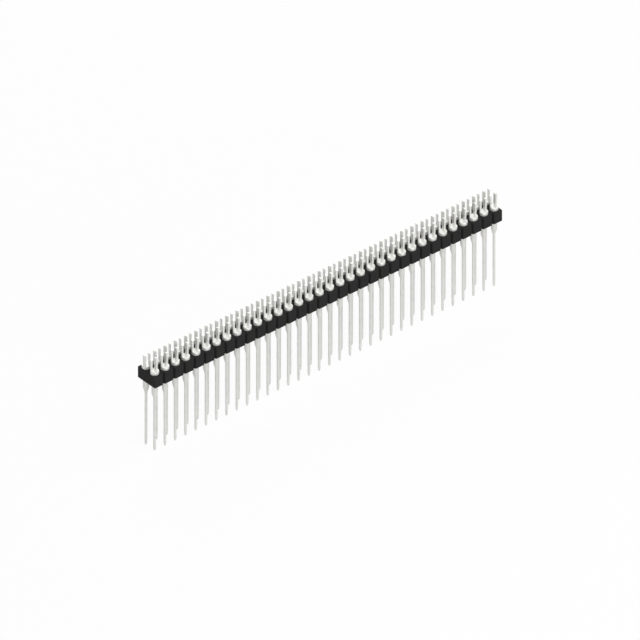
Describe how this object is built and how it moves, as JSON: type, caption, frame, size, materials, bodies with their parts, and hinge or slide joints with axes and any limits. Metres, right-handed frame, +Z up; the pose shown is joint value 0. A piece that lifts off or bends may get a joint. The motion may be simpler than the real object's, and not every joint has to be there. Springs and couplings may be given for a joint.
{
  "type": "wire wrap pin header",
  "caption": "Two-row breakaway strip of turned wire wrap pins with forked heads, pressed into a notched black plastic insulator.",
  "frame": {"origin": "middle of the insulator's underside, the face that seats on the board", "axes": "+X along the strip, +Y from the front row to the back row, +Z up out of the forked heads, tails down along -Z"},
  "size_m": [0.0858, 0.005, 0.021],
  "materials": {
    "insulator": "moulded black thermoplastic, satin",
    "contact": "turned brass with a light silvery tin plate"
  },
  "bodies": {
    "root": {"insulator": "insulator", "contact_pair_01": "contact", "contact_pair_02": "contact", "contact_pair_03": "contact", "contact_pair_04": "contact", "contact_pair_05": "contact", "contact_pair_06": "contact", "contact_pair_07": "contact", "contact_pair_08": "contact", "contact_pair_09": "contact", "contact_pair_10": "contact", "contact_pair_11": "contact", "contact_pair_12": "contact", "contact_pair_13": "contact", "contact_pair_14": "contact", "contact_pair_15": "contact", "contact_pair_16": "contact", "contact_pair_17": "contact", "contact_pair_18": "contact", "contact_pair_19": "contact", "contact_pair_20": "contact", "contact_pair_21": "contact", "contact_pair_22": "contact", "contact_pair_23": "contact", "contact_pair_24": "contact", "contact_pair_25": "contact", "contact_pair_26": "contact", "contact_pair_27": "contact", "contact_pair_28": "contact", "contact_pair_29": "contact", "contact_pair_30": "contact", "contact_pair_31": "contact", "contact_pair_32": "contact", "contact_pair_33": "contact", "contact_pair_34": "contact"}
  },
  "joints": []
}
